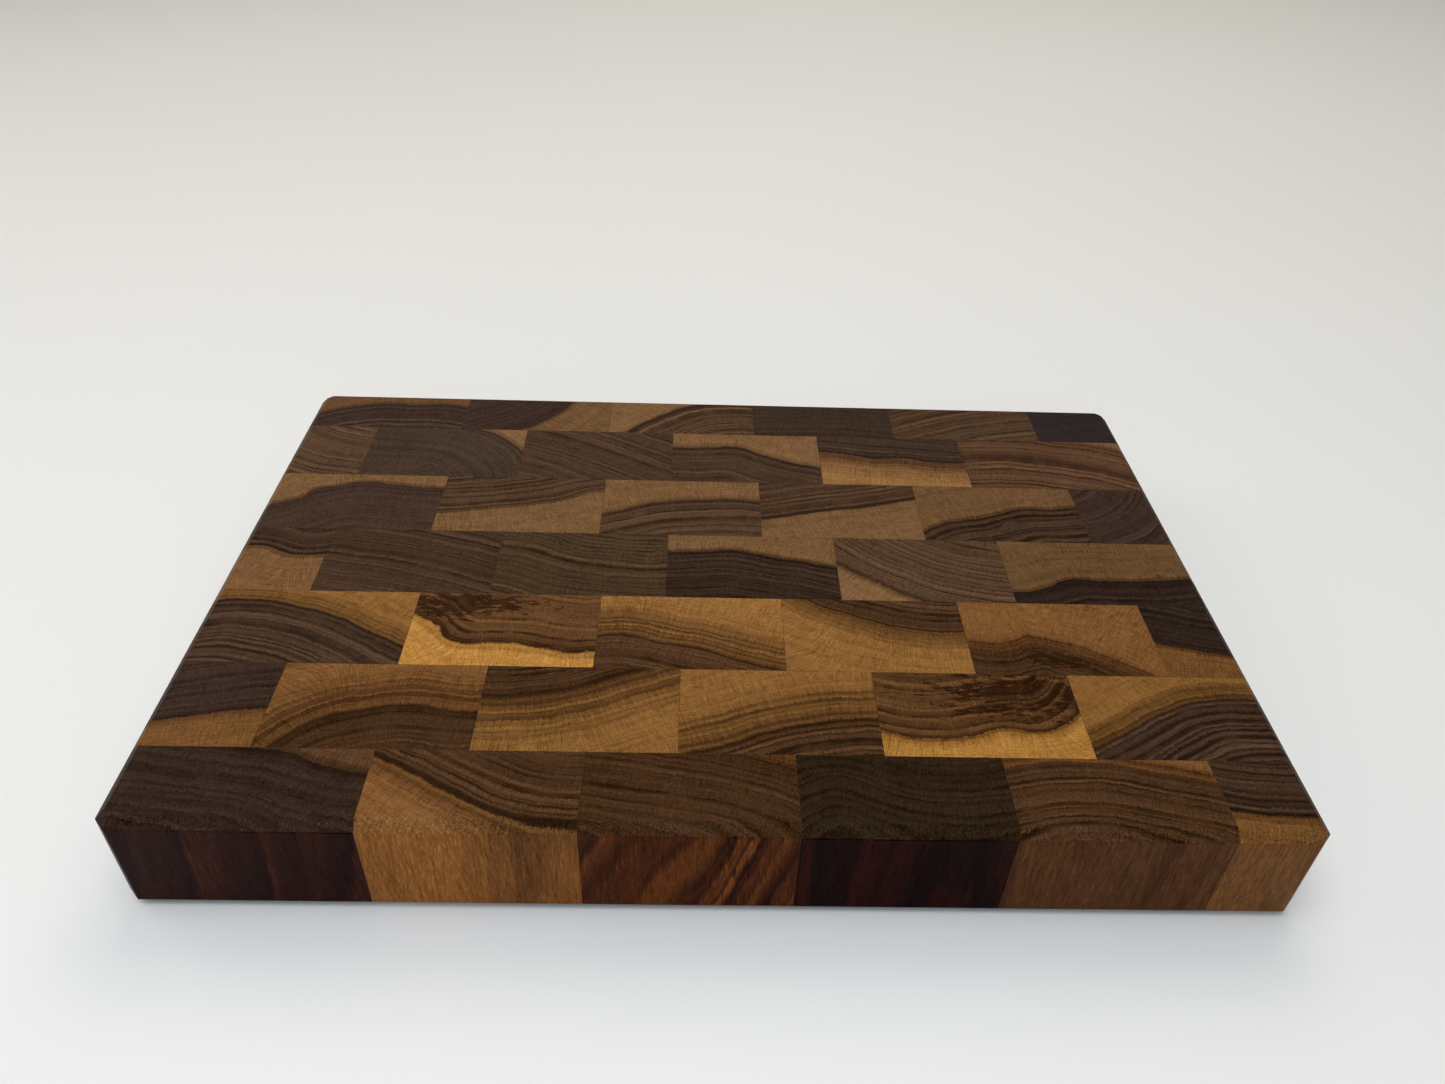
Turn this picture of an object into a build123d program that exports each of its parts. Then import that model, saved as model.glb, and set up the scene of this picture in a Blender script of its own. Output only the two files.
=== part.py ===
"""End-grain walnut cutting board: forty-two blocks glued into seven staggered rows.

The wood's grain stands upright, along Z, so every block shows its end grain on top and
underneath. The origin is the middle of the underside, where the board rests: X runs along
the board's length, Y runs from the cook's edge (-Y) to the far edge (+Y), and Z is up.
"""

import os

from build123d import *

# Outside of the finished board, a 12 x 18 x 2 inch size.
LENGTH = 457.2
WIDTH = 304.8
THICKNESS = 50.8

# Edges are cut at 45 degrees all round, above and below, and the upright corners are clipped.
EDGE_CHAMFER = 4.0
CORNER_CLIP = 5.0

# Five whole strips lie between two outer strips, which were trimmed when the board was squared.
ROW_COUNT = 7
STRIP_WIDTH = 46.4
OUTER_STRIP_WIDTH = (WIDTH - (ROW_COUNT - 2) * STRIP_WIDTH) / 2

# Thickness of the cured glue between two neighbours.
GLUE_LINE = 0.15

# Where the end joints cross each row, along X. The far row comes first.
END_JOINTS = [
    [-143, -61, 20, 99, 181],
    [-188, -106, -25, 55, 134],
    [-141, -59, 21, 102, 185],
    [-186, -105, -25, 56, 137],
    [-136, -54, 28, 109, 193],
    [-182, -98, -17, 64, 148],
    [-134, -53, 29, 110, 192],
]

os.makedirs("parts", exist_ok=True)


def strip_joints():
    """The lines along Y that part the rows, from the far edge of the board to the near one."""
    far = WIDTH / 2
    inner = [far - OUTER_STRIP_WIDTH - i * STRIP_WIDTH for i in range(ROW_COUNT - 1)]
    return [far, *inner, -far]


def save(part, name):
    """Labels one finished piece and writes it to its own file."""
    part.label = name
    export_step(part, f"parts/{name}.step")


# The board's whole outer form, which trims every block and glue line to size.
with BuildPart() as envelope:
    with BuildSketch(Plane.XY):
        outline = Rectangle(LENGTH, WIDTH)
        chamfer(outline.vertices(), length=CORNER_CLIP)
    extrude(amount=THICKNESS)
    rims = envelope.faces().filter_by(Axis.Z).edges()
    chamfer(rims, length=EDGE_CHAMFER)


def upright(name, rectangles):
    """One piece, or a group of separate ones, standing through the full thickness.

    Each rectangle is its two limits along X and its two limits along Y.
    """
    with BuildPart() as piece:
        with BuildSketch(Plane.XY):
            for x_low, x_high, y_low, y_high in rectangles:
                with Locations(((x_low + x_high) / 2, (y_low + y_high) / 2)):
                    Rectangle(x_high - x_low, y_high - y_low)
        extrude(amount=THICKNESS)
        add(envelope.part, mode=Mode.INTERSECT)
    save(piece.part, name)


HALF_GLUE = GLUE_LINE / 2
lines = strip_joints()

for row in range(ROW_COUNT):
    # A row is bounded by a glue line on each side, except along the board's two long edges.
    y_high = lines[row] - (HALF_GLUE if row > 0 else 0)
    y_low = lines[row + 1] + (HALF_GLUE if row < ROW_COUNT - 1 else 0)

    starts = [-LENGTH / 2] + [joint + HALF_GLUE for joint in END_JOINTS[row]]
    ends = [joint - HALF_GLUE for joint in END_JOINTS[row]] + [LENGTH / 2]
    for block, (x_low, x_high) in enumerate(zip(starts, ends), start=1):
        upright(f"row{row + 1}_block{block}", [(x_low, x_high, y_low, y_high)])

    # The glue in this row's end joints, all of one kind and kept as one group.
    films = [(x - HALF_GLUE, x + HALF_GLUE, y_low, y_high) for x in END_JOINTS[row]]
    upright(f"row{row + 1}_end_glue", films)

# The glue between rows runs the board's whole length.
for row in range(1, ROW_COUNT):
    film = (-LENGTH / 2, LENGTH / 2, lines[row] - HALF_GLUE, lines[row] + HALF_GLUE)
    upright(f"row{row}_row{row + 1}_glue", [film])
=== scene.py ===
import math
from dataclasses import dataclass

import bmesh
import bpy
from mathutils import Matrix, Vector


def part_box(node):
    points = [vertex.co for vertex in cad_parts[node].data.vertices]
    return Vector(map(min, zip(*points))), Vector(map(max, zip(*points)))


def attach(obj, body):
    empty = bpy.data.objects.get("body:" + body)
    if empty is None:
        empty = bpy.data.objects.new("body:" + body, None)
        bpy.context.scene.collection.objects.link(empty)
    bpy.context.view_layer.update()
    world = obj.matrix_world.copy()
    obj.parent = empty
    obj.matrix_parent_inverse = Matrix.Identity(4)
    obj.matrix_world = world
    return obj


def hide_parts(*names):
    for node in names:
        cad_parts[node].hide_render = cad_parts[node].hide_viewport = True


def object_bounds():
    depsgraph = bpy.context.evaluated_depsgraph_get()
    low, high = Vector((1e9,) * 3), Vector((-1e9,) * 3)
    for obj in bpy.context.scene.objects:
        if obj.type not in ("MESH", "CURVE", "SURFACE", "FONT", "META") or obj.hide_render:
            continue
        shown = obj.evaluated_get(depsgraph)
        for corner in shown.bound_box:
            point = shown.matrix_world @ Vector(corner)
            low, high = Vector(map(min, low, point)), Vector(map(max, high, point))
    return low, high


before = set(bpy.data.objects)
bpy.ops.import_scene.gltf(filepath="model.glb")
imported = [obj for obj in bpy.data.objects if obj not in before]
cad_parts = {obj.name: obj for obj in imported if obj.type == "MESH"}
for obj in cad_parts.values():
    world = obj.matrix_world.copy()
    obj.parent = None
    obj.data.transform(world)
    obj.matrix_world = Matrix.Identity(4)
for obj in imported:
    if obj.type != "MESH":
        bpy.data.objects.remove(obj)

# The looks of an end-grain walnut cutting board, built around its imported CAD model.
#
# Every block of the CAD model is replaced by a block with softened edges and its own figure: the
# growth rings, heartwood, sapwood, rays and pores of one piece of walnut stood on end. The wood is
# a solid pattern, so the rings on top run down the sides as stripes. Lengths are in metres in the
# scene and in millimetres inside the wood's materials.

MM = 0.001
CAD_LOW, CAD_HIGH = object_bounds()

# The same edges as the CAD model has.
EDGE_CHAMFER = 4.0 * MM
CORNER_CLIP = 5.0 * MM
HALF_GLUE = 0.075 * MM

# Sanding rounds each outer edge a little, in this many narrow flats.
SANDED_EDGE = 0.7 * MM
SANDED_STEPS = 3


# ---------------------------------------------------------------------------------------------
# Figures: how the growth rings run through each block
# ---------------------------------------------------------------------------------------------


@dataclass
class Figure:
    """The wood of one block, seen from above.

    line is the edge of the heartwood, or one growth ring where the block is all heartwood. Its
    points are in percent of the block's length and width, measured from its left near corner, and
    the other rings run alongside it. bark is the side of the line that faced the bark. heart and
    sap name colours, and a block without sap is all heartwood.
    """

    line: list
    bark: str = "far"
    heart: str = "brown"
    sap: str = ""
    rings: float = 3.5  # mm from one growth ring to the next
    stripes: float = 1.0  # contrast between light and dark rings
    band: float = 4.0  # mm of darker heartwood along its edge
    blur: float = 0.7  # mm over which heartwood turns into sapwood
    ragged: float = 0.8  # mm that the heartwood's edge wanders
    toast: float = 4.0  # mm of sapwood that is browner the nearer it is to the heartwood
    patch: tuple = ()  # middle in percent, and half sizes in mm, of a dark ragged patch
    knots: tuple = ()  # middle in percent, and radius in mm, of each small knot
    shade: float = 1.0  # how much lighter or darker this block is than its colours
    flank: tuple = (1.0, 1.0, 1.0)  # the colour its upright sides are tinted with
    flank_stripes: float = 0.65  # contrast of the stripes on its sides, over that of its rings
    lean: tuple = (1.0, 1.0)  # mm that the figure moves along X and Y, from underside to top


FIGURES = {
    "row1_block1": Figure(
        [(0, 25), (16, 47), (49, 67), (68, 64), (87, 67), (100, 59)],
        heart="maroon", sap="dull", rings=4.0, stripes=1.2, band=7, blur=1.2,
    ),
    "row1_block2": Figure(
        [(39, 0), (47, 12), (60, 43), (66, 60), (74, 100)],
        bark="right", heart="maroon", sap="tan", rings=5, stripes=0.6, band=5, blur=0.8,
        shade=0.85,
    ),
    "row1_block3": Figure(
        [(10, 0), (20, 23), (41, 62), (52, 80), (66, 90), (100, 95)],
        heart="umber", sap="tan", rings=3.6, stripes=1.3, band=3, shade=1.05,
    ),
    "row1_block4": Figure(
        [(0, 55), (50, 60), (100, 50)],
        heart="dusk", rings=6, stripes=0.5, shade=0.85,
    ),
    "row1_block5": Figure(
        [(0, 0), (30, 32), (62, 58), (100, 76)],
        heart="umber", rings=4, shade=0.95,
    ),
    "row1_block6": Figure(
        [(0, 40), (50, 60), (100, 70)],
        heart="slate", rings=5, stripes=0.25, shade=0.75,
    ),
    "row2_block1": Figure(
        [(0, 88), (45, 62), (100, 50)],
        heart="umber", rings=3.4, shade=1.2,
    ),
    "row2_block2": Figure(
        [(40, 112), (69, 100), (88, 76), (100, 51), (107, 20)],
        bark="right", heart="dusk", sap="tan", rings=3.2, stripes=0.5, band=2, shade=1.15,
    ),
    "row2_block3": Figure(
        [(0, 85), (35, 60), (65, 30), (90, 5)],
        heart="brown", rings=3.6, stripes=0.9, shade=1.1,
    ),
    "row2_block4": Figure(
        [(0, 69), (24, 71), (47, 71), (60, 57), (80, 43), (100, 32)],
        heart="brown", sap="tan", rings=5, stripes=0.8, band=3, shade=1.05,
    ),
    "row2_block5": Figure(
        [(0, 66), (20, 62), (38, 55), (53, 56), (80, 48), (100, 47)],
        bark="near", heart="night", sap="gold", rings=3.6, stripes=0.8, band=3, blur=0.5,
        toast=24, shade=1.15,
    ),
    "row2_block6": Figure(
        [(0, 106), (19, 110), (40, 108), (64, 98), (81, 91), (100, 73)],
        heart="russet", sap="tan", rings=4.6, stripes=1.3, band=2,
    ),
    "row3_block1": Figure(
        [(0, 34), (13, 48), (21, 57), (25, 71), (36, 77), (54, 86), (68, 82), (100, 77)],
        heart="maroon", sap="tan", rings=5, stripes=0.5, band=5, blur=1.2,
    ),
    "row3_block2": Figure(
        [(0, 36), (17, 39), (51, 51), (78, 65), (88, 76), (100, 81)],
        bark="near", heart="umber", sap="tan", rings=3.4, stripes=1.3, band=3,
    ),
    "row3_block3": Figure(
        [(0, 35), (15, 46), (40, 60), (62, 64), (84, 67), (100, 64)],
        heart="umber", sap="tan", rings=3.8, band=2.5,
    ),
    "row3_block4": Figure(
        [(0, 30), (23, 40), (42, 49), (67, 57), (100, 74)],
        bark="near", heart="umber", sap="tan", rings=3.4, stripes=1.1, band=3, shade=0.95,
    ),
    "row3_block5": Figure(
        [(0, 12), (11, 28), (25, 36), (43, 43), (54, 53), (66, 60), (83, 61), (100, 64)],
        heart="brown", sap="tan", rings=4.5, stripes=1.1, knots=((54, 32, 3),), shade=0.8,
    ),
    "row3_block6": Figure(
        [(0, 35), (30, 48), (60, 72), (80, 100)],
        heart="maroon", rings=3.4, stripes=0.8, shade=0.85,
    ),
    "row4_block1": Figure(
        [(8, 69), (29, 67), (46, 61), (60, 56), (99, 58)],
        bark="near", heart="brown", sap="rose", rings=4, stripes=1.6, band=3, shade=0.9,
    ),
    "row4_block2": Figure(
        [(0, 75), (40, 62), (75, 45), (100, 28)],
        heart="brown", rings=3.4, stripes=0.9, shade=0.95,
    ),
    "row4_block3": Figure(
        [(0, 88), (20, 80), (45, 62), (70, 55), (100, 53)],
        heart="olive", rings=3.2, stripes=0.9, knots=((32, 88, 2.5), (97, 75, 3)), shade=0.95,
    ),
    "row4_block4": Figure(
        [(0, 70), (19, 73), (37, 76), (55, 69), (80, 60), (100, 50)],
        heart="night", sap="tan", rings=3.6, stripes=0.9, band=3, blur=0.5, shade=0.95,
    ),
    "row4_block5": Figure(
        [(-10, 75), (0, 58), (21, 28), (39, 7), (60, -8), (100, -22)],
        bark="near", heart="umber", sap="tan", rings=3.4, stripes=0.9, band=2, blur=1.5,
        ragged=5, shade=1.1,
    ),
    "row4_block6": Figure(
        [(1, 17), (15, 23), (31, 38), (50, 37), (70, 37), (97, 44)],
        heart="plum", sap="tan", rings=4.5, stripes=0.7, blur=0.7, knots=((80, 48, 2),),
        shade=0.72,
    ),
    "row5_block1": Figure(
        [(0, 82), (16, 87), (45, 77), (65, 63), (88, 37), (100, 23)],
        heart="brown", sap="amber", rings=3.4, stripes=1.5, band=3, blur=0.8, toast=14,
    ),
    "row5_block2": Figure(
        [(0, 68), (14, 54), (21, 35), (30, 29), (50, 31), (74, 24), (88, 19), (100, 21)],
        bark="near", heart="copper", sap="honey", rings=5, stripes=0.75, band=7, blur=0.5,
        ragged=2.5, toast=6, patch=(22, 85, 30, 8), shade=1.05,
    ),
    "row5_block3": Figure(
        [(0, 43), (17, 46), (32, 38), (54, 29), (76, 15), (100, 2)],
        heart="chestnut", sap="amber", rings=3.0, stripes=1.2, band=2, blur=1.5, toast=30,
        shade=1.1,
    ),
    "row5_block4": Figure(
        [(14, 100), (22, 89), (35, 80), (50, 69), (65, 60), (99, 56)],
        bark="near", heart="chestnut", sap="amber", rings=3.4, stripes=1.2, band=2.5, toast=16,
    ),
    "row5_block5": Figure(
        [(0, 30), (14, 25), (24, 27), (31, 37), (39, 37), (48, 29), (62, 19), (78, 0)],
        heart="chestnut", sap="orange", rings=4.0, stripes=0.9, band=6, blur=2.0, toast=16,
        patch=(50, 22, 18, 6), shade=0.9,
    ),
    "row5_block6": Figure(
        [(0, 46), (25, 42), (55, 34), (90, 29)],
        bark="near", heart="plum", sap="orange", rings=4, stripes=0.7, band=3, shade=0.78,
    ),
    "row6_block1": Figure(
        [(0, 26), (34, 32), (60, 38), (100, 45)],
        bark="near", heart="maroon", sap="orange", rings=3.6, stripes=0.7, band=3, shade=0.78,
    ),
    "row6_block2": Figure(
        [(7, 0), (14, 17), (30, 38), (47, 46), (67, 52), (85, 46), (100, 45)],
        heart="chestnut", sap="orange", rings=3.4, stripes=0.8, band=8, blur=2.5, toast=28,
        shade=0.92,
    ),
    "row6_block3": Figure(
        [(0, 59), (20, 60), (35, 65), (50, 73), (63, 83), (84, 99)],
        bark="near", heart="chestnut", sap="amber", rings=3.2, stripes=1.3, band=2.5, toast=30,
        shade=0.9,
    ),
    "row6_block4": Figure(
        [(0, 0), (26, 13), (41, 24), (55, 32), (85, 42), (100, 43)],
        heart="chestnut", sap="amber", rings=3.2, stripes=1.3, band=2, blur=1.5, toast=30,
        shade=0.95,
    ),
    "row6_block5": Figure(
        [(0, 28), (19, 21), (46, 25), (58, 33), (78, 30), (88, 37), (97, 47), (104, 66)],
        bark="near", heart="copper", sap="honey", rings=5, stripes=0.75, band=7, blur=0.5,
        ragged=2.5, toast=6, patch=(75, 75, 36, 12), shade=0.85,
    ),
    "row6_block6": Figure(
        [(0, 12), (14, 25), (28, 40), (43, 56), (55, 66), (67, 72), (96, 73)],
        heart="brown", sap="amber", rings=3.4, stripes=1.5, band=3, blur=0.8, toast=14,
        shade=0.85,
    ),
    "row7_block1": Figure(
        [(50, 100), (68, 91), (79, 79), (100, 67)],
        heart="maroon", sap="dull", rings=4.0, stripes=0.7, band=3, shade=0.68,
        flank=(0.72, 0.38, 0.32), flank_stripes=1.3,
    ),
    "row7_block2": Figure(
        [(1, 88), (18, 69), (28, 56), (40, 41), (52, 28), (64, 15), (87, 6)],
        bark="near", heart="chestnut", sap="orange", rings=3.2, band=3, blur=0.6, toast=14,
        flank=(0.97, 0.9, 0.74), flank_stripes=0.8,
    ),
    "row7_block3": Figure(
        [(0, 130), (40, 115), (77, 99), (100, 79)],
        heart="chestnut", sap="orange", rings=3.0, stripes=0.8, band=2, toast=14, shade=0.8,
        flank=(1.55, 1.22, 0.62), flank_stripes=1.4, lean=(9.0, 3.0),
    ),
    "row7_block4": Figure(
        [(0, 55), (20, 70), (45, 45), (75, 35), (100, 42)],
        heart="pitch", rings=4, stripes=0.7, flank=(0.66, 0.2, 0.13), flank_stripes=1.35,
    ),
    "row7_block5": Figure(
        [(0, 86), (20, 95), (40, 97), (55, 93), (75, 82), (100, 70)],
        heart="chestnut", sap="orange", rings=3.6, stripes=1.1, band=2, toast=14, shade=0.98,
        flank=(1.34, 1.43, 1.08), flank_stripes=0.3,
    ),
    "row7_block6": Figure(
        [(0, 33), (25, 28), (57, 26), (90, 25)],
        bark="near", heart="brown", sap="orange", rings=3.4, stripes=1.1, band=2, shade=0.76,
        flank=(0.78, 0.75, 0.7),
    ),
}

# Which way the bark was, along X and Y.
BARK_SIDES = {"far": (0, 1), "near": (0, -1), "left": (-1, 0), "right": (1, 0)}


def linear(red, green, blue):
    """A colour picked on a screen, from 0 to 255, as the linear values that materials use."""
    values = [channel / 255 for channel in (red, green, blue)]
    return tuple(v / 12.92 if v <= 0.04045 else ((v + 0.055) / 1.055) ** 2.4 for v in values)


# Oiled heartwood, as the colours of its darkest and lightest rings.
HEART = {
    "plum": (linear(38, 29, 26), linear(75, 58, 50)),
    "pitch": (linear(34, 26, 19), linear(62, 48, 37)),
    "slate": (linear(44, 37, 36), linear(68, 57, 55)),
    "night": (linear(36, 26, 22), linear(76, 59, 47)),
    "dusk": (linear(44, 34, 28), linear(82, 64, 52)),
    "maroon": (linear(49, 36, 31), linear(83, 64, 54)),
    "brown": (linear(47, 35, 28), linear(92, 69, 54)),
    "olive": (linear(47, 36, 27), linear(95, 73, 53)),
    "umber": (linear(51, 38, 29), linear(102, 76, 56)),
    "chestnut": (linear(48, 34, 24), linear(96, 67, 46)),
    "russet": (linear(58, 40, 31), linear(110, 78, 56)),
    "copper": (linear(52, 35, 25), linear(126, 87, 54)),
}

# Oiled sapwood, as the colours of its browned inner part and of its outer part.
SAP = {
    "gold": (linear(76, 52, 36), linear(133, 96, 58)),
    "dull": (linear(58, 42, 32), linear(104, 73, 50)),
    "rose": (linear(77, 54, 38), linear(124, 89, 58)),
    "tan": (linear(72, 51, 36), linear(117, 86, 57)),
    "orange": (linear(76, 50, 31), linear(126, 86, 50)),
    "amber": (linear(78, 53, 32), linear(136, 95, 52)),
    "honey": (linear(112, 74, 38), linear(175, 124, 62)),
}
UNSEEN_SAP = "tan"  # fed to blocks without sapwood, where it never shows

# What upright sides multiply the wood's colour by. Side grain has redder dark stripes, and the
# sides are darker partly as side grain and partly with painted shade for the dimmer light on them.
SIDE_GRAIN_AND_SHADE_DARK_HEART = (0.42, 0.15, 0.12)
SIDE_GRAIN_AND_SHADE_LIGHT_HEART = (1.15, 0.90, 0.66)
SIDE_GRAIN_AND_SHADE_SAP = (1.22, 1.10, 0.84)

GLUE_DARK, GLUE_LIGHT = linear(34, 25, 19), linear(84, 60, 42)
BEADS_PER_MM = 0.4
GLUE_ROUGHNESS, BEAD_ROUGHNESS, BEAD_RELIEF = 0.5, 0.2, 0.04
OILED_SPECULAR = 0.12
PLAIN_SPECULAR = 0.5


# ---------------------------------------------------------------------------------------------
# Node trees, written as arithmetic
# ---------------------------------------------------------------------------------------------

# The Mix node has sockets of the same name for each kind of value. These are its colours.
MIX_FIRST, MIX_SECOND, MIX_RESULT = 6, 7, 2


class Value:
    """One output in a node tree. Arithmetic on it adds Math nodes to that tree."""

    def __init__(self, graph, socket):
        self.graph = graph
        self.socket = socket

    def __add__(self, other):
        return self.graph.math("ADD", self, other)

    def __radd__(self, other):
        return self.graph.math("ADD", other, self)

    def __sub__(self, other):
        return self.graph.math("SUBTRACT", self, other)

    def __rsub__(self, other):
        return self.graph.math("SUBTRACT", other, self)

    def __mul__(self, other):
        return self.graph.math("MULTIPLY", self, other)

    def __truediv__(self, other):
        return self.graph.math("DIVIDE", self, other)

    def __abs__(self):
        return self.graph.math("ABSOLUTE", self)


class Graph:
    """Adds nodes to one node tree."""

    def __init__(self, tree):
        self.tree = tree

    def node(self, kind, **settings):
        made = self.tree.nodes.new("ShaderNode" + kind)
        for name, value in settings.items():
            setattr(made, name, value)
        return made

    def feed(self, socket, value):
        if isinstance(value, Value):
            self.tree.links.new(value.socket, socket)
        else:
            socket.default_value = value

    def out(self, node, name=0):
        return Value(self, node.outputs[name])

    def math(self, operation, *values):
        made = self.node("Math", operation=operation)
        for socket, value in zip(made.inputs, values):
            self.feed(socket, value)
        return self.out(made)

    def fade(self, value, start, end):
        """0 before start and 1 after end, with a smooth step between them."""
        made = self.node("MapRange", interpolation_type="SMOOTHSTEP")
        self.feed(made.inputs["Value"], value)
        self.feed(made.inputs["From Min"], start)
        self.feed(made.inputs["From Max"], end)
        return self.out(made)

    def limited(self, value):
        """The value kept between 0 and 1."""
        made = self.node("Clamp")
        self.feed(made.inputs["Value"], value)
        return self.out(made)

    def vector(self, x, y, z=0.0):
        made = self.node("CombineXYZ")
        for socket, value in zip(made.inputs, (x, y, z)):
            self.feed(socket, value)
        return self.out(made)

    def axes(self, vector):
        made = self.node("SeparateXYZ")
        self.feed(made.inputs["Vector"], vector)
        return [self.out(made, name) for name in "XYZ"]

    def vector_math(self, operation, first, second):
        made = self.node("VectorMath", operation=operation)
        self.feed(made.inputs[0], first)
        self.feed(made.inputs[1], second)
        return self.out(made, "Value" if operation == "DOT_PRODUCT" else "Vector")

    def noise(self, point, detail=1.0, roughness=0.5, dimensions="3D"):
        """Smooth noise about 0, mostly within -0.5 to 0.5. One cell is one unit of the point."""
        made = self.node("TexNoise", noise_dimensions=dimensions)
        self.feed(made.inputs["W" if dimensions == "1D" else "Vector"], point)
        self.feed(made.inputs["Scale"], 1.0)
        self.feed(made.inputs["Detail"], detail)
        self.feed(made.inputs["Roughness"], roughness)
        return (self.out(made) - 0.5) * 2.0

    def chance(self, value):
        """A random number from 0 to 1 for each whole value."""
        made = self.node("TexWhiteNoise", noise_dimensions="1D")
        self.feed(made.inputs["W"], value)
        return self.out(made)

    def cells(self, point):
        """The distance to the nearest of a set of scattered points, one to each unit cell."""
        made = self.node("TexVoronoi", voronoi_dimensions="3D", feature="F1")
        self.feed(made.inputs["Vector"], point)
        self.feed(made.inputs["Scale"], 1.0)
        return self.out(made)

    def colour_mix(self, factor, first, second, blend="MIX"):
        made = self.node("Mix", data_type="RGBA", blend_type=blend)
        self.feed(made.inputs["Factor"], factor)
        for place, colour in ((MIX_FIRST, first), (MIX_SECOND, second)):
            self.feed(made.inputs[place], opaque(colour) if isinstance(colour, tuple) else colour)
        return self.out(made, MIX_RESULT)

    def shade(self, colour, factor):
        """The colour made darker or lighter by a factor about 1."""
        made = self.node("VectorMath", operation="SCALE")
        self.feed(made.inputs[0], colour)
        self.feed(made.inputs["Scale"], factor)
        return self.out(made)

    def place_in_mm(self):
        """The object's own coordinates, which are the frame's, in millimetres."""
        place = self.out(self.node("TexCoord"), "Object")
        return self.vector_math("MULTIPLY", place, (1 / MM,) * 3)

    def surface(self, colour, roughness, height, specular):
        """Ends a material's tree with its shader. height is relief in mm."""
        bump = self.node("Bump")
        self.feed(bump.inputs["Distance"], MM)
        self.feed(bump.inputs["Height"], height)
        finish = self.node("BsdfPrincipled")
        self.feed(finish.inputs["Specular IOR Level"], specular)
        self.feed(finish.inputs["Base Color"], colour)
        self.feed(finish.inputs["Roughness"], roughness)
        self.feed(finish.inputs["Normal"], self.out(bump))
        self.feed(self.node("OutputMaterial").inputs["Surface"], self.out(finish))


def opaque(colour):
    return (*colour, 1.0)


def new_material(name):
    """An empty node material, and the graph that fills it."""
    material = bpy.data.materials.new(name)
    material.use_nodes = True
    material.node_tree.nodes.clear()
    return material, Graph(material.node_tree)


# ---------------------------------------------------------------------------------------------
# Walnut
# ---------------------------------------------------------------------------------------------

GROUP_INPUTS = {
    "Across": "NodeSocketFloat",
    "Along": "NodeSocketFloat",
    "Point": "NodeSocketVector",
    "Seed": "NodeSocketFloat",
    "Rings": "NodeSocketFloat",
    "Stripes": "NodeSocketFloat",
    "Band": "NodeSocketFloat",
    "Blur": "NodeSocketFloat",
    "Ragged": "NodeSocketFloat",
    "Toast": "NodeSocketFloat",
    "Patch": "NodeSocketFloat",
    "Shade": "NodeSocketFloat",
    "Flank": "NodeSocketColor",
    "Flank stripes": "NodeSocketFloat",
    "Heart dark": "NodeSocketColor",
    "Heart light": "NodeSocketColor",
    "Sap dark": "NodeSocketColor",
    "Sap light": "NodeSocketColor",
}
GROUP_OUTPUTS = {
    "Color": "NodeSocketColor",
    "Roughness": "NodeSocketFloat",
    "Height": "NodeSocketFloat",
}

# Sizes in mm of one cell of each noise: along X, along Y and up the trunk.
SLOW_WANDER = (18, 18, 150)
QUICK_WANDER = (4.5, 4.5, 90)
FIBRES = (0.9, 0.9, 14)
STRENGTH_PATCHES = (12, 12, 120)
TORN_EDGES = (3.6, 3.6, 30)
SHREDS = (6, 1.8, 40)
VESSELS = (0.8, 0.8, 16)
STREAKS = (1.1, 1.1, 16)
DASHES = (0.5, 0.5, 3.5)
COARSE_CUTS = (0.55, 0.55, 0.8)
CLOUDS = (26, 26, 60)

# The same for noise that follows the rings: round them and across them, or only across them.
RAYS = (0.8, 10)
CELL_BANDS = (7, 0.9)
RING_BANDS = 4.5
RING_WIDTHS = 8

# mm that the rings are moved by slow wandering, by quick wandering, and by rays and fibres.
SLOW_SHIFT, QUICK_SHIFT, RUFFLE = 1.4, 0.5, 0.6

# Ramps: where a mark is absent, and where it is full.
SIDE_TO_END, FLAT_TO_CHAMFER = (0.2, 0.6), (0.97, 0.85)  # how much a surface faces up or down
LATE_START, LATE_END = (0.30, 0.88), (1.0, 0.84)  # in parts of a ring, from its pith side
PALE_START, PALE_END = (0.0, 0.06), (0.26, 0.08)
HAS_PALE_LINE = (0.35, 0.9)  # in a ring's random number
DARK_LINE = (-2.2, -0.4)  # mm from the heartwood's edge
RIM_START, RIM_END = -1.4, -0.6  # from the heartwood's edge, in parts of the figure's band
PATCH_EDGE = (1.0, 0.7)  # in parts of the patch's half sizes
PORE_EDGE = (0.36, 0.16)  # from a vessel's middle, in cells
# The pale fibre flecks are partly lighter fibres and partly painted glints of light on cut fibres.
PALE_FIBRE_AND_GLINT, PALE_DASH, PALE_CUT_AND_GLINT = (0.10, 0.42), (0.12, 0.42), (0.12, 0.40)  # in their noise

# How much rings vary: in width, and in the strength of latewood, pale lines and all stripes.
RING_WIDTH_VARIES = 0.9
LATE_VARIES, LATE_LEAST = 0.8, 0.3
PALE_VARIES, PALE_LEAST = 1.2, 0.4
STRENGTH_VARIES, STRENGTH = 1.1, 0.9

# Heartwood's tone runs from 0, its darkest, to 1, its lightest. These marks change it by bands,
# by each ring's random number, and by its latewood and pale line.
HEART_TONE, FLANK_TONE = 0.52, 0.5
HEART_BANDS, HEART_CHANCE, HEART_LATE, HEART_PALE = 0.75, 0.25, 0.55, 0.50
RIM_DARKENS, LINE_DARKENS, PATCH_DARKENS = 0.18, 0.08, 0.40
PATCH_SHREDS, PATCH_TEARS = 2.4, 0.8  # how ragged the patch's outline is

# The same for sapwood, and for how brown it is near the heartwood.
SAP_BANDS, SAP_LATE = 0.5, 0.24
TOASTED, TOASTED_BANDS, TOASTED_LATE = 0.75, 0.6, 0.3

# Threads of the linen pattern: radians of a sine wave to each mm, along the rings and across.
THREADS_ALONG, THREADS_ACROSS = 8.0, 8.6
RAYS_BEND_THREADS = 1.5
PORES_THIN_OUT = 0.5  # from one side of a ring to the other

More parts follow.
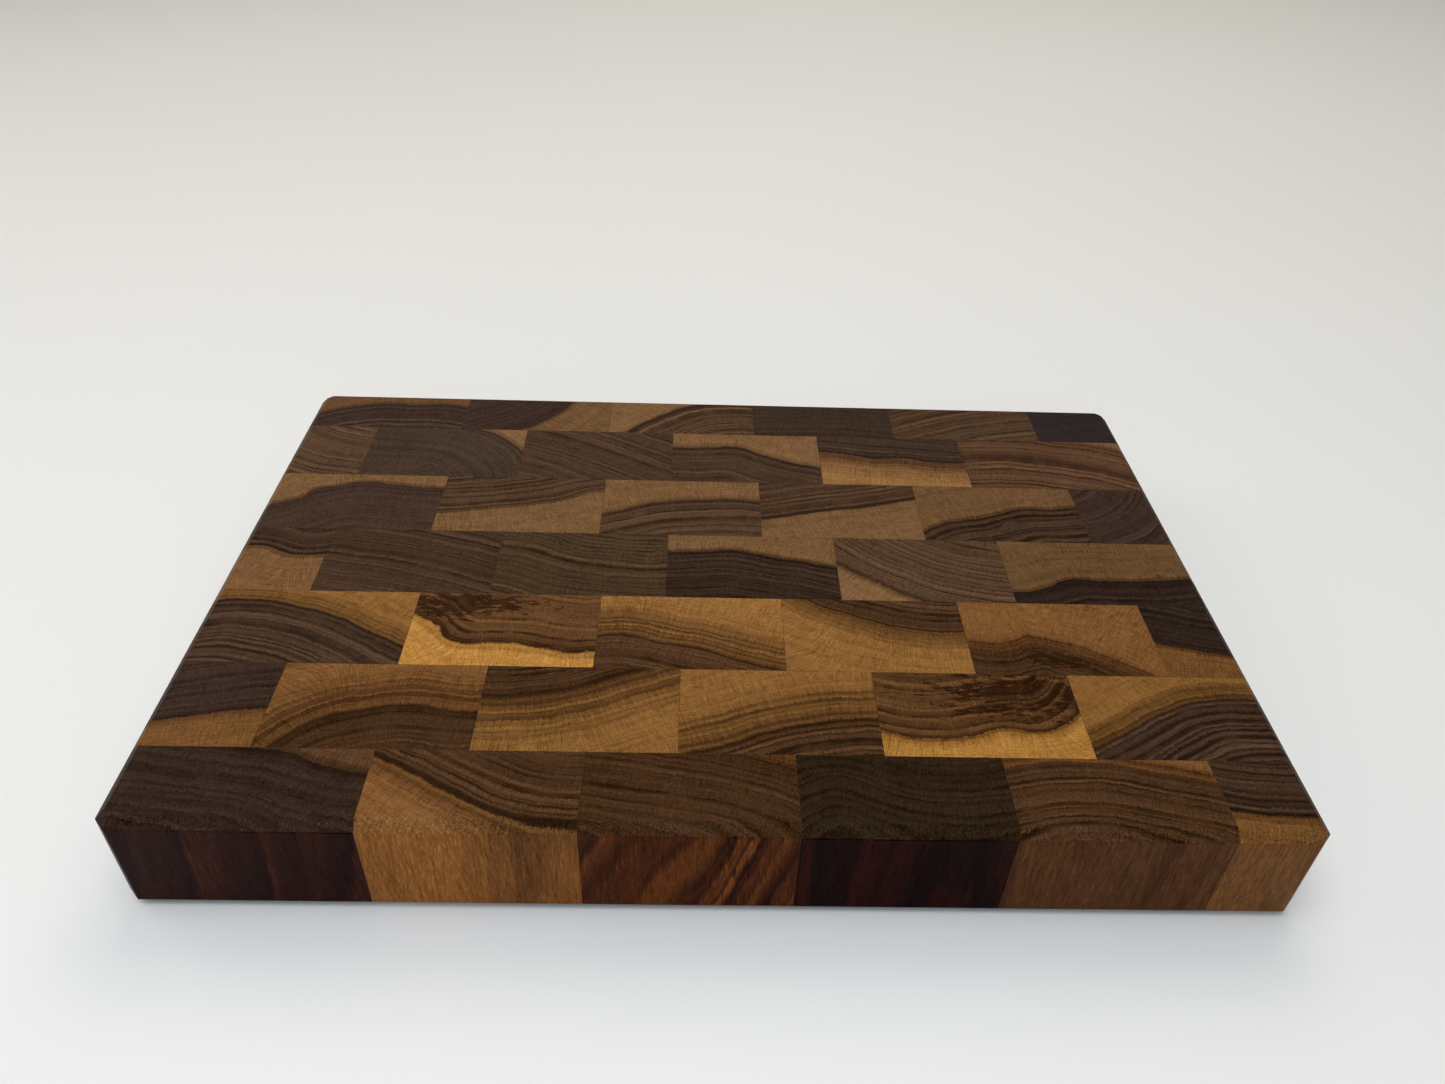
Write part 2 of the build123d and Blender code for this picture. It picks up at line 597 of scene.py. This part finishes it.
# How much each fine mark makes the wood lighter or darker.
LINEN_RAYS, LINEN_BANDS, LINEN_THREADS = 0.7, 0.5, 0.09
LINEN_ON_HEART, LINEN_MORE_ON_SAP = 0.7, 0.3
FIBRES_ON_HEART, FIBRES_LESS_ON_SAP = 0.75, 0.2
PALE_FIBRES_AND_GLINTS, PORES = 0.10, 0.28
SIDE_STREAKS, SIDE_DASHES, SIDE_PALE_DASHES = 0.60, 0.40, 0.40
# The pale cuts on the chamfers are partly lighter torn fibres and partly painted glints.
CUTS, PALE_CUTS_AND_GLINTS = 0.6, 0.8
CLOUDINESS = 0.2

# Roughness, and what pores, clouds, chamfers and fibres add to it. Then relief in mm.
ROUGHNESS = 0.46
ROUGH_PORES, ROUGH_CLOUDS, ROUGH_CHAMFER, ROUGH_FIBRES = 0.12, 0.06, 0.12, 0.04
PORE_RELIEF, FIBRE_RELIEF, CUT_RELIEF = -0.05, 0.010, 0.05


class Walnut:
    """Builds the node group that turns a place in the wood into colour, roughness and height.

    Across is the distance in mm from the heartwood's edge towards the bark, and Along is the
    distance round the rings. Height is in mm. Noises are moved by multiples of the block's seed,
    so that blocks differ. Only vessels and coarse cuts have the same pattern in every block.
    """

    def __init__(self):
        tree = bpy.data.node_groups.new("walnut", "ShaderNodeTree")
        for name, kind in GROUP_INPUTS.items():
            tree.interface.new_socket(name, in_out="INPUT", socket_type=kind)
        for name, kind in GROUP_OUTPUTS.items():
            tree.interface.new_socket(name, in_out="OUTPUT", socket_type=kind)
        self.tree = tree
        self.g = Graph(tree)
        entry = tree.nodes.new("NodeGroupInput")
        self.given = {name: Value(self.g, entry.outputs[name]) for name in GROUP_INPUTS}
        self.seed = self.given["Seed"]
        self.place = self.g.axes(self.given["Point"])

        self.facing()
        self.weave()
        self.rings()
        heart, sap = self.heartwood(), self.sapwood()
        self.grain()
        self.finish(self.g.colour_mix(self.is_sap, heart, sap))

    def spread(self, sizes, shift):
        """The place in the wood in cells of the given sizes, moved by a shift where it isn't 0."""
        moved = []
        for value, size, move in zip(self.place, sizes, shift):
            value = value / size
            moved.append(value + move if move else value)
        return self.g.vector(*moved)

    def facing(self):
        """Which way the surface faces: 1 on the end grain and 0 on the upright sides."""
        g = self.g
        geometry = g.node("NewGeometry")
        up = abs(g.axes(g.out(geometry, "True Normal"))[2])
        self.end_grain = g.fade(up, *SIDE_TO_END)
        self.chamfer = self.end_grain * g.fade(up, *FLAT_TO_CHAMFER)

    def weave(self):
        """Rays run from pith to bark and bands of cells run round the rings, like linen."""
        g, seed = self.g, self.seed
        # Growth is never quite even, so the rings wander. Up the trunk they change slowly.
        slow = g.noise(self.spread(SLOW_WANDER, (seed, 0, 0)), detail=1)
        quick = g.noise(self.spread(QUICK_WANDER, (0, seed, 0)), detail=1)
        across = self.given["Across"] + slow * SLOW_SHIFT + quick * QUICK_SHIFT
        along = self.given["Along"]

        ray_place = g.vector(along / RAYS[0], across / RAYS[1], seed)
        self.ray = g.noise(ray_place, detail=2, roughness=0.8)
        band_place = g.vector(along / CELL_BANDS[0], across / CELL_BANDS[1], seed + 9)
        self.cell_band = g.noise(band_place, detail=2, roughness=0.8)
        self.fibre = g.noise(self.spread(FIBRES, (0, 0, seed)), detail=2, roughness=0.9)
        # Pale flecks on the fibres: partly lighter fibres and partly painted glints of light on
        # cut fibres.
        self.fleck_and_glint = g.fade(self.fibre, *PALE_FIBRE_AND_GLINT)
        self.along = along
        self.across = across + (self.ray + self.fibre) * RUFFLE

    def rings(self):
        """Each ring has its own width, and its latewood is darker. Finer bands run alongside."""
        g, seed, across = self.g, self.seed, self.across
        width = g.noise(across / RING_WIDTHS + seed * 3, dimensions="1D")
        turn = across / self.given["Rings"] + width * RING_WIDTH_VARIES
        ring = g.math("FLOOR", turn)
        self.part = turn - ring
        self.chance = g.chance(ring + seed * 7)
        late = g.fade(self.part, *LATE_START) * g.fade(self.part, *LATE_END)
        self.late = late * (self.chance * LATE_VARIES + LATE_LEAST)

        # Some rings begin with a thin pale line.
        pale = g.fade(self.part, *PALE_START) * g.fade(self.part, *PALE_END)
        is_pale = g.fade(g.chance(ring + seed * 11 + 0.5), *HAS_PALE_LINE)
        self.pale = pale * is_pale * (self.fleck_and_glint * PALE_VARIES + PALE_LEAST)

        bands = across / RING_BANDS + seed * 5
        self.bands = g.noise(bands, detail=4, roughness=0.65, dimensions="1D")
        patches = g.noise(self.spread(STRENGTH_PATCHES, (0, seed * 2, 0)), detail=2)
        self.strength = patches * STRENGTH_VARIES + STRENGTH

    def heartwood(self):
        """Dark along its edge and striped further in. Also finds where the sapwood begins."""
        g, seed, given = self.g, self.seed, self.given
        torn = g.noise(self.spread(TORN_EDGES, (0, 0, seed)), detail=3, roughness=0.6)
        edge_place = self.across + torn * given["Ragged"]
        self.is_sap = g.fade(edge_place, given["Blur"] * -1.0, given["Blur"])
        rim = g.fade(edge_place, given["Band"] * RIM_START, given["Band"] * RIM_END)
        line = g.fade(edge_place, *DARK_LINE)
        tone = self.bands * HEART_BANDS + (self.chance - 0.5) * HEART_CHANCE
        tone = tone - self.late * HEART_LATE + self.pale * HEART_PALE
        tone = tone * given["Stripes"] * self.strength
        tone = HEART_TONE + tone - rim * RIM_DARKENS - line * LINE_DARKENS

        shreds = g.noise(self.spread(SHREDS, (0, seed, 0)), detail=3, roughness=0.6)
        ragged = given["Patch"] + shreds * PATCH_SHREDS + torn * PATCH_TEARS
        tone = tone - g.fade(ragged, *PATCH_EDGE) * PATCH_DARKENS
        flank = given["Flank stripes"]
        contrast = flank + (1.0 - flank) * self.end_grain
        self.heart_tone = g.limited((tone - FLANK_TONE) * contrast + FLANK_TONE)
        return g.colour_mix(self.heart_tone, given["Heart dark"], given["Heart light"])

    def sapwood(self):
        """Soft bands, and browner the nearer it is to the heartwood."""
        g, given = self.g, self.given
        toasted = g.fade(self.across, given["Toast"], 0.0)
        uneven = TOASTED - self.bands * TOASTED_BANDS + self.late * TOASTED_LATE
        tone = 1.0 + self.bands * SAP_BANDS * self.strength
        tone = tone - self.late * SAP_LATE * self.strength - toasted * uneven
        return g.colour_mix(g.limited(tone), given["Sap dark"], given["Sap light"])

    def grain(self):
        """Fine marks: pores, fibres, streaks, the linen pattern and the chamfers' rough cut. Their
        pale specks are partly lighter fibres and partly painted glints.
        """
        g, seed, is_sap = self.g, self.seed, self.is_sap
        # Vessels stand upright: dots on the end grain and fine streaks down the sides.
        vessel = g.cells(self.spread(VESSELS, (0, 0, 0)))
        self.pore = g.fade(vessel, *PORE_EDGE) * (1.0 - self.part * PORES_THIN_OUT)
        streak = g.noise(self.spread(STREAKS, (0, 0, seed)), detail=3, roughness=0.75)
        dash = g.noise(self.spread(DASHES, (0, 0, seed)), detail=1, roughness=0.8)
        side_marks = streak * SIDE_STREAKS + dash * SIDE_DASHES
        side_marks = side_marks + g.fade(dash, *PALE_DASH) * SIDE_PALE_DASHES

        # The chamfers were cut slantwise across the vessels, so they are coarser. Their pale
        # specks are partly lighter cut fibres and partly painted glints of light.
        self.coarse = g.noise(self.spread(COARSE_CUTS, (0, 0, 0)), detail=2, roughness=0.85)
        rough_cut_and_glints = self.coarse * CUTS + g.fade(self.coarse, *PALE_CUT_AND_GLINT) * PALE_CUTS_AND_GLINTS

        threads = g.math("SINE", self.along * THREADS_ALONG + self.ray * RAYS_BEND_THREADS)
        threads = threads + g.math("SINE", self.across * THREADS_ACROSS + self.cell_band)
        linen = self.ray * LINEN_RAYS + self.cell_band * LINEN_BANDS + threads * LINEN_THREADS
        linen = linen * (is_sap * LINEN_MORE_ON_SAP + LINEN_ON_HEART)
        speckle = self.fibre * (FIBRES_ON_HEART - is_sap * FIBRES_LESS_ON_SAP)
        speckle = speckle + self.fleck_and_glint * PALE_FIBRES_AND_GLINTS - self.pore * PORES
        lighter = 1.0 + linen * self.end_grain + speckle
        lighter = lighter + side_marks * (1.0 - self.end_grain) + rough_cut_and_glints * self.chamfer
        self.cloud = g.noise(self.spread(CLOUDS, (0, 0, seed)), detail=2)
        self.lighter = (lighter + self.cloud * CLOUDINESS) * self.given["Shade"]

    def finish(self, colour):
        """Joins the fine marks to the colour, tints the upright sides, partly with painted shade,
        and ends the group.
        """
        g = self.g
        colour = g.shade(colour, self.lighter)
        # The side tint darkens upright faces partly as side grain and partly as painted shade.
        side_grain_and_shade_tint = g.colour_mix(self.heart_tone, SIDE_GRAIN_AND_SHADE_DARK_HEART, SIDE_GRAIN_AND_SHADE_LIGHT_HEART)
        side_grain_and_shade_tint = g.colour_mix(self.is_sap, side_grain_and_shade_tint, SIDE_GRAIN_AND_SHADE_SAP)
        side_grain_and_shade_tint = g.colour_mix(1.0, side_grain_and_shade_tint, self.given["Flank"], blend="MULTIPLY")
        side = g.colour_mix(1.0, colour, side_grain_and_shade_tint, blend="MULTIPLY")
        roughness = ROUGHNESS + self.pore * ROUGH_PORES + self.cloud * ROUGH_CLOUDS
        roughness = roughness + self.chamfer * ROUGH_CHAMFER + self.fibre * ROUGH_FIBRES
        height = self.pore * PORE_RELIEF + self.fibre * FIBRE_RELIEF
        height = height + self.coarse * self.chamfer * CUT_RELIEF

        leave = self.tree.nodes.new("NodeGroupOutput")
        g.feed(leave.inputs["Color"], g.colour_mix(self.end_grain, side, colour))
        g.feed(leave.inputs["Roughness"], roughness)
        g.feed(leave.inputs["Height"], height)


def in_block(place, size):
    """A place given in percent of the block, in mm from the block's middle."""
    return (place[0] / 100 - 0.5) * size.x, (place[1] / 100 - 0.5) * size.y


def ring_frame(figure, size):
    """A figure's line: its start, axis and bark side in mm from the block's middle, its reach in
    mm, and its shape, with both coordinates in parts of that reach."""
    points = [Vector((*in_block(place, size), 0.0)) for place in figure.line]
    start, end = points[0], points[-1]
    reach = (end - start).length
    axis = (end - start) / reach
    bark_side = Vector((-axis.y, axis.x, 0.0))
    if bark_side.dot(Vector((*BARK_SIDES[figure.bark], 0.0))) < 0:
        bark_side.negate()
    shape = [((p - start).dot(axis) / reach, (p - start).dot(bark_side) / reach) for p in points]
    return start, axis, bark_side, reach, shape


def line_curve(g, shape, value):
    """A Float Curve through the line's points, read at a value along its axis."""
    made = g.node("FloatCurve")
    mapping = made.mapping
    mapping.use_clip = False
    mapping.extend = "EXTRAPOLATED"
    points = mapping.curves[0].points
    while len(points) < len(shape):
        points.new(0.5, 0.5)
    for point, place in zip(points, sorted(shape)):
        point.location = place
        point.handle_type = "AUTO"
    mapping.update()
    g.feed(made.inputs["Factor"], 1.0)
    g.feed(made.inputs["Value"], value)
    return g.out(made)


ALL_HEART = 60.0  # mm that the heartwood's edge is moved outward in a block with no sapwood
NO_PATCH = 9.0  # a distance at which no patch is near
SMOOTH = 0.11  # how far along its length the line is smoothed for the rings away from it
DETAIL_REACH = 4.0  # mm from the line at which its small bumps have faded by half
KNOT_PUSH = 1.8  # how far a knot pushes the rings outward, in parts of its radius


def distance_squared(g, point, place, size, radii):
    """The square of the distance from a place in the block, in parts of two radii in mm."""
    x, y, _ = g.axes(point)
    middle_x, middle_y = in_block(place, size)
    across = (x - middle_x) / radii[0]
    up = (y - middle_y) / radii[1]
    return across * across + up * up


def patch_distance(g, point, patch, size):
    """0 in the middle of the block's dark patch, 1 at its outline, and more outside it."""
    if not patch:
        return NO_PATCH
    return g.math("SQRT", distance_squared(g, point, patch[:2], size, patch[2:]))


def knot_lift(g, point, knots, size):
    """mm by which knots push the rings outward, so that the rings close round each of them."""
    lift = 0.0
    for knot_x, knot_y, radius in knots:
        away = distance_squared(g, point, (knot_x, knot_y), size, (radius, radius))
        lift = g.math("EXPONENT", away * -1.0) * (radius * KNOT_PUSH) + lift
    return lift


def follow_line(g, figure, point, size):
    """How far a point is across the figure's rings and along them, in mm.

    Near the line the rings follow its every bump. Further away they follow a smoothed line.
    """
    start, axis, bark_side, reach, shape = ring_frame(figure, size)
    sunk = 0.5 - g.axes(point)[2] / size.z
    lean = g.vector(sunk * figure.lean[0], sunk * figure.lean[1])
    from_start = g.vector_math("SUBTRACT", g.vector_math("ADD", point, lean), tuple(start))
    u = g.vector_math("DOT_PRODUCT", from_start, tuple(axis / reach))
    v = g.vector_math("DOT_PRODUCT", from_start, tuple(bark_side / reach))
    before, line, after = (line_curve(g, shape, u + step) for step in (-SMOOTH, 0.0, SMOOTH))
    slope = (after - before) / (2 * SMOOTH)
    steep = slope * slope + 1.0
    smooth_line = before * 0.25 + line * 0.5 + after * 0.25
    off = v - smooth_line
    far_off = off * (reach / DETAIL_REACH)
    detail = (line - smooth_line) / (far_off * far_off + 1.0)
    across = (off - detail) / g.math("SQRT", steep) * reach
    along = (u + off * slope / steep) * reach
    return across, along


def walnut_material(name, figure, low, high, seed):
    """The walnut of one block: its own figure, fed to the shared walnut group."""
    material, g = new_material(name)
    size = (high - low) / MM
    middle = (low + high) / 2 / MM
    point = g.vector_math("SUBTRACT", g.place_in_mm(), tuple(middle))
    across, along = follow_line(g, figure, point, size)
    if figure.knots:
        across = across - knot_lift(g, point, figure.knots, size)
    if not figure.sap:
        across = across - ALL_HEART

    heart_dark, heart_light = HEART[figure.heart]
    sap_dark, sap_light = SAP[figure.sap or UNSEEN_SAP]
    given = {
        "Across": across,
        "Along": along,
        "Point": point,
        "Seed": float(seed),
        "Rings": figure.rings,
        "Stripes": figure.stripes,
        "Band": figure.band,
        "Blur": figure.blur,
        "Ragged": figure.ragged,
        "Toast": figure.toast,
        "Patch": patch_distance(g, point, figure.patch, size),
        "Shade": figure.shade,
        "Flank": opaque(figure.flank),
        "Flank stripes": figure.flank_stripes,
        "Heart dark": opaque(heart_dark),
        "Heart light": opaque(heart_light),
        "Sap dark": opaque(sap_dark),
        "Sap light": opaque(sap_light),
    }
    wood = g.node("Group", node_tree=WALNUT.tree)
    for socket, value in given.items():
        g.feed(wood.inputs[socket], value)
    colour, roughness, height = (g.out(wood, name) for name in GROUP_OUTPUTS)
    g.surface(colour, roughness, height, OILED_SPECULAR)
    return material


def glue_material():
    """Cured wood glue, stained by the oil: a brown film with small lighter beads."""
    material, g = new_material("cured_glue")
    bead_place = g.vector_math("MULTIPLY", g.place_in_mm(), (BEADS_PER_MM,) * 3)
    beads = g.noise(bead_place, detail=3, roughness=0.6)
    colour = g.colour_mix(g.limited(0.5 + beads), GLUE_DARK, GLUE_LIGHT)
    roughness = GLUE_ROUGHNESS + beads * BEAD_ROUGHNESS
    g.surface(colour, roughness, beads * BEAD_RELIEF, PLAIN_SPECULAR)
    return material


# ---------------------------------------------------------------------------------------------
# Blocks
# ---------------------------------------------------------------------------------------------

UPRIGHT_SIDES = 8
LONG_SIDES = (2, 6)  # the upright sides that face along Y, counted from the one that faces +X
TOUCH = 0.001 * MM  # a corner that stands out of a plane by less than this isn't cut
INSIDE = 0.3 * MM  # a block's end that is further than this inside the board has a neighbour
FACES_AXIS = 0.9  # how far a face's normal lies along an axis that it is said to face
SAME_WAY = 0.9999  # how far two normals agree when they belong to one flat side


@dataclass
class Side:
    """One flat side of the board: the way it faces and how far it is from the board's centre."""

    way: Vector
    reach: float


def chamfer_side(side, face):
    """The chamfer between an upright side and the top or bottom."""
    reach = (side.reach + face.reach - EDGE_CHAMFER) / math.sqrt(2)
    return Side((side.way + face.way).normalized(), reach)


def board_sides():
    """The board's top and bottom, its upright sides, and the chamfers round each of the two."""
    half = (CAD_HIGH - CAD_LOW) / 2
    faces = [Side(Vector((0, 0, 1)), half.z), Side(Vector((0, 0, -1)), half.z)]
    upright = []
    for place in range(UPRIGHT_SIDES):
        angle = math.radians(360 / UPRIGHT_SIDES * place)
        reach = half.y if place in LONG_SIDES else half.x
        if place % 2:
            # The clipped corners.
            reach = (half.x + half.y - CORNER_CLIP) / math.sqrt(2)
        upright.append(Side(Vector((math.cos(angle), math.sin(angle), 0)), reach))
    chamfers = [[chamfer_side(side, face) for side in upright] for face in faces]
    return faces, upright, chamfers


def rounding(first, second):
    """The narrow flats that a sanded edge is made of, all tangent to one cylinder inside it."""
    turn = first.way.angle(second.way)
    radius = SANDED_EDGE / math.tan(turn / 2)
    flats = []
    for step in range(1, SANDED_STEPS + 1):
        part = step / (SANDED_STEPS + 1)
        one, other = (math.sin(p * turn) / math.sin(turn) for p in (1 - part, part))
        way = first.way * one + second.way * other
        reach = (first.reach - radius) * one + (second.reach - radius) * other + radius
        flats.append(Side(way, reach))
    return flats


def board_outline():
    """Every plane that cuts the board's outside from a box: its flat sides, then sanded edges."""
    faces, upright, chamfers = board_sides()
    sanded = []
    for place in range(UPRIGHT_SIDES):
        after = (place + 1) % UPRIGHT_SIDES
        sanded += rounding(upright[place], upright[after])
        for face, edge in zip(faces, chamfers):
            sanded += rounding(upright[place], edge[place])
            sanded += rounding(edge[place], face)
            sanded += rounding(edge[place], edge[after])
    return faces + upright + chamfers[0] + chamfers[1], sanded


def cut(mesh, side):
    """Cuts away what lies outside a plane of the board, and closes the cut with one face."""
    centre = (CAD_HIGH + CAD_LOW) / 2
    outermost = max((vert.co - centre).dot(side.way) for vert in mesh.verts)
    if outermost < side.reach + TOUCH:
        return
    everything = mesh.verts[:] + mesh.edges[:] + mesh.faces[:]
    result = bmesh.ops.bisect_plane(
        mesh, geom=everything, plane_co=centre + side.way * side.reach, plane_no=side.way,
        clear_outer=True,
    )
    rim = [item for item in result["geom_cut"] if isinstance(item, bmesh.types.BMEdge)]
    if rim:
        bmesh.ops.edgeloop_fill(mesh, edges=rim)


def is_glued(face, low, high):
    """True for an upright face that meets a neighbour, and not the board's outside."""
    normal, middle = face.normal, face.calc_center_median()
    for axis in (0, 1):
        for end, cad_end in ((low, CAD_LOW), (high, CAD_HIGH)):
            on_end = abs(middle[axis] - end[axis]) < HALF_GLUE
            if abs(normal[axis]) > FACES_AXIS and on_end:
                return abs(end[axis] - cad_end[axis]) > INSIDE
    return False


def up_to_glue_middles(low, high):
    """A block's box, grown to the middle of the glue line beside each end with a neighbour."""
    low, high = low.copy(), high.copy()
    for axis in (0, 1):
        if abs(low[axis] - CAD_LOW[axis]) > INSIDE:
            low[axis] -= HALF_GLUE
        if abs(high[axis] - CAD_HIGH[axis]) > INSIDE:
            high[axis] += HALF_GLUE
    return low, high


def coat_with_glue(mesh, low, high):
    """Gives the glue's material to the glued faces, and to a tiny bevel round them."""
    glued = {face for face in mesh.faces if is_glued(face, low, high)}
    rims = [edge for edge in mesh.edges if sum(face in glued for face in edge.link_faces) == 1]
    for face in glued:
        face.material_index = 1
    made = bmesh.ops.bevel(
        mesh, geom=rims, offset=HALF_GLUE, segments=1, profile=0.5, affect="EDGES"
    )
    for face in made["faces"]:
        face.material_index = 1
        face.smooth = False


def block_mesh(low, high):
    """A box cut by the board's outline. Only sanded edges are shaded as curved."""
    mesh = bmesh.new()
    bmesh.ops.create_cube(mesh, size=1.0)
    bmesh.ops.scale(mesh, vec=high - low, verts=mesh.verts)
    bmesh.ops.translate(mesh, vec=(high + low) / 2, verts=mesh.verts)
    flat, sanded = OUTLINE
    for side in flat + sanded:
        cut(mesh, side)
    mesh.normal_update()
    for face in mesh.faces:
        face.smooth = not any(face.normal.dot(side.way) > SAME_WAY for side in flat)
    coat_with_glue(mesh, low, high)
    return mesh


def block_piece(node, seed, glue):
    """One block of walnut with its share of the glue on the sides that meet a neighbour."""
    low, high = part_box(node)
    low, high = up_to_glue_middles(low, high)
    mesh = block_mesh(low, high)
    name = "walnut_" + node
    data = bpy.data.meshes.new(name)
    mesh.to_mesh(data)
    mesh.free()
    piece = bpy.data.objects.new(name, data)
    bpy.context.scene.collection.objects.link(piece)
    data.materials.append(walnut_material(name, FIGURES[node], low, high, seed))
    data.materials.append(glue)
    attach(piece, "root")
    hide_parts(node)
    return piece


def glue_nodes_beside(node):
    """The CAD nodes of the glue lines that a block's piece shows its share of."""
    row = int(node.removeprefix("row").split("_")[0])
    between = [f"row{near - 1}_row{near}_glue" for near in (row, row + 1)]
    return [f"row{row}_end_glue"] + [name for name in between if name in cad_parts]


OUTLINE = board_outline()
WALNUT = Walnut()
glue = glue_material()
for number, node in enumerate(sorted(FIGURES), start=1):
    piece = block_piece(node, number, glue)
    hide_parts(*glue_nodes_beside(node))


# ---------------------------------------------------------------------------------------------
# Studio
# ---------------------------------------------------------------------------------------------

FLOOR_HALF = 9.0
FLOOR_DARK, FLOOR_LIGHT = (0.80, 0.79, 0.765), (0.83, 0.82, 0.80)
FLOOR_ROUGHNESS = 0.55

# The room's glow: overhead, beside the board, and how strong it is.
OVERHEAD, WALLS = (0.50, 0.51, 0.52), (0.80, 0.79, 0.77)
ROOM_STRENGTH = 0.38
WALL_TOP, WALL_FOOT = 0.75, 0.1  # sine of the angle above the floor

BLACK_POINT = 0.010


@dataclass
class Softbox:
    """A round soft light. One that isn't mirrored lights the wood without showing in its sheen."""

    name: str
    place: tuple
    aim: tuple
    size: float
    power: float
    colour: tuple
    mirrored: bool = False


SOFTBOXES = [
    Softbox("key", (-0.25, -0.45, 1.7), (0, -0.2, 0), 1.4, 19, (0.89, 0.945, 1.0)),
    Softbox("back", (0.4, 1.5, 2.0), (0.3, 1.2, 0), 2.2, 24, (1.0, 0.92, 0.79)),
    Softbox("warm_left", (-1.6, 0.6, 1.0), (0, 0.3, 0), 1.2, 5, (1.0, 0.88, 0.74), mirrored=True),
    Softbox("cool_front", (-0.1, -1.6, 0.9), (0, -0.3, 0), 1.8, 9, (0.72, 0.86, 1.0)),
]


def lay_floor():
    """A plain pale table top, large enough to fill the view."""
    material, g = new_material("pale_floor")
    stain = g.noise(g.out(g.node("TexCoord"), "Object"), detail=2)
    colour = g.colour_mix(g.limited(0.5 + stain), FLOOR_DARK, FLOOR_LIGHT)
    finish = g.node("BsdfPrincipled")
    g.feed(finish.inputs["Base Color"], colour)
    g.feed(finish.inputs["Roughness"], FLOOR_ROUGHNESS)
    g.feed(g.node("OutputMaterial").inputs["Surface"], g.out(finish))

    corners = [(-1, -1), (1, -1), (1, 1), (-1, 1)]
    data = bpy.data.meshes.new("floor")
    data.from_pydata([(x * FLOOR_HALF, y * FLOOR_HALF, 0) for x, y in corners], [], [(0, 1, 2, 3)])
    data.materials.append(material)
    floor = bpy.data.objects.new("floor", data)
    bpy.context.scene.collection.objects.link(floor)


def light_room():
    """A pale room that is brighter towards its walls than overhead."""
    world = bpy.data.worlds.new("room")
    world.use_nodes = True
    g = Graph(world.node_tree)
    height = g.axes(g.out(g.node("TexCoord"), "Generated"))[2]
    background = world.node_tree.nodes["Background"]
    colour = g.colour_mix(g.fade(height, WALL_TOP, WALL_FOOT), OVERHEAD, WALLS)
    g.feed(background.inputs["Color"], colour)
    g.feed(background.inputs["Strength"], ROOM_STRENGTH)
    bpy.context.scene.world = world


def hang_softbox(box):
    data = bpy.data.lights.new(box.name, "AREA")
    data.shape = "DISK"
    data.size = box.size
    data.energy = box.power
    data.color = box.colour
    light = bpy.data.objects.new(box.name, data)
    light.location = box.place
    light.rotation_mode = "QUATERNION"
    light.rotation_quaternion = (Vector(box.aim) - light.location).to_track_quat("-Z", "Y")
    light.visible_glossy = box.mirrored
    bpy.context.scene.collection.objects.link(light)


def set_camera_response():
    """Colours as a camera shows them: no film curve, and deep shadows a little deeper."""
    view = bpy.context.scene.view_settings
    view.view_transform = "Standard"
    view.use_curve_mapping = True
    view.curve_mapping.black_level = (BLACK_POINT,) * 3
    view.curve_mapping.update()


# The camera stands at the cook's side, a little left of the middle, and looks down at the board.
CAMERA_PLACE = (-0.0124, -0.3977, 0.3757)
CAMERA_YAW, CAMERA_PITCH, CAMERA_ROLL = (math.radians(a) for a in (-1.92, -37.97, -2.30))
CAMERA_LENS = 26.95
SENSOR_WIDTH = 36.0
NEAREST_SEEN = 0.01


def place_camera():
    data = bpy.data.cameras.new("camera")
    data.lens = CAMERA_LENS
    data.sensor_width = SENSOR_WIDTH
    data.sensor_fit = "HORIZONTAL"
    data.clip_start = NEAREST_SEEN
    turned = (
        Matrix.Rotation(CAMERA_YAW, 4, "Z")
        @ Matrix.Rotation(CAMERA_PITCH, 4, "X")
        @ Matrix.Rotation(CAMERA_ROLL, 4, "Y")
        @ Matrix.Rotation(math.radians(90), 4, "X")
    )
    made = bpy.data.objects.new("camera", data)
    made.matrix_world = Matrix.Translation(CAMERA_PLACE) @ turned
    bpy.context.scene.collection.objects.link(made)
    bpy.context.scene.camera = made


lay_floor()
light_room()
for box in SOFTBOXES:
    hang_softbox(box)
set_camera_response()
place_camera()
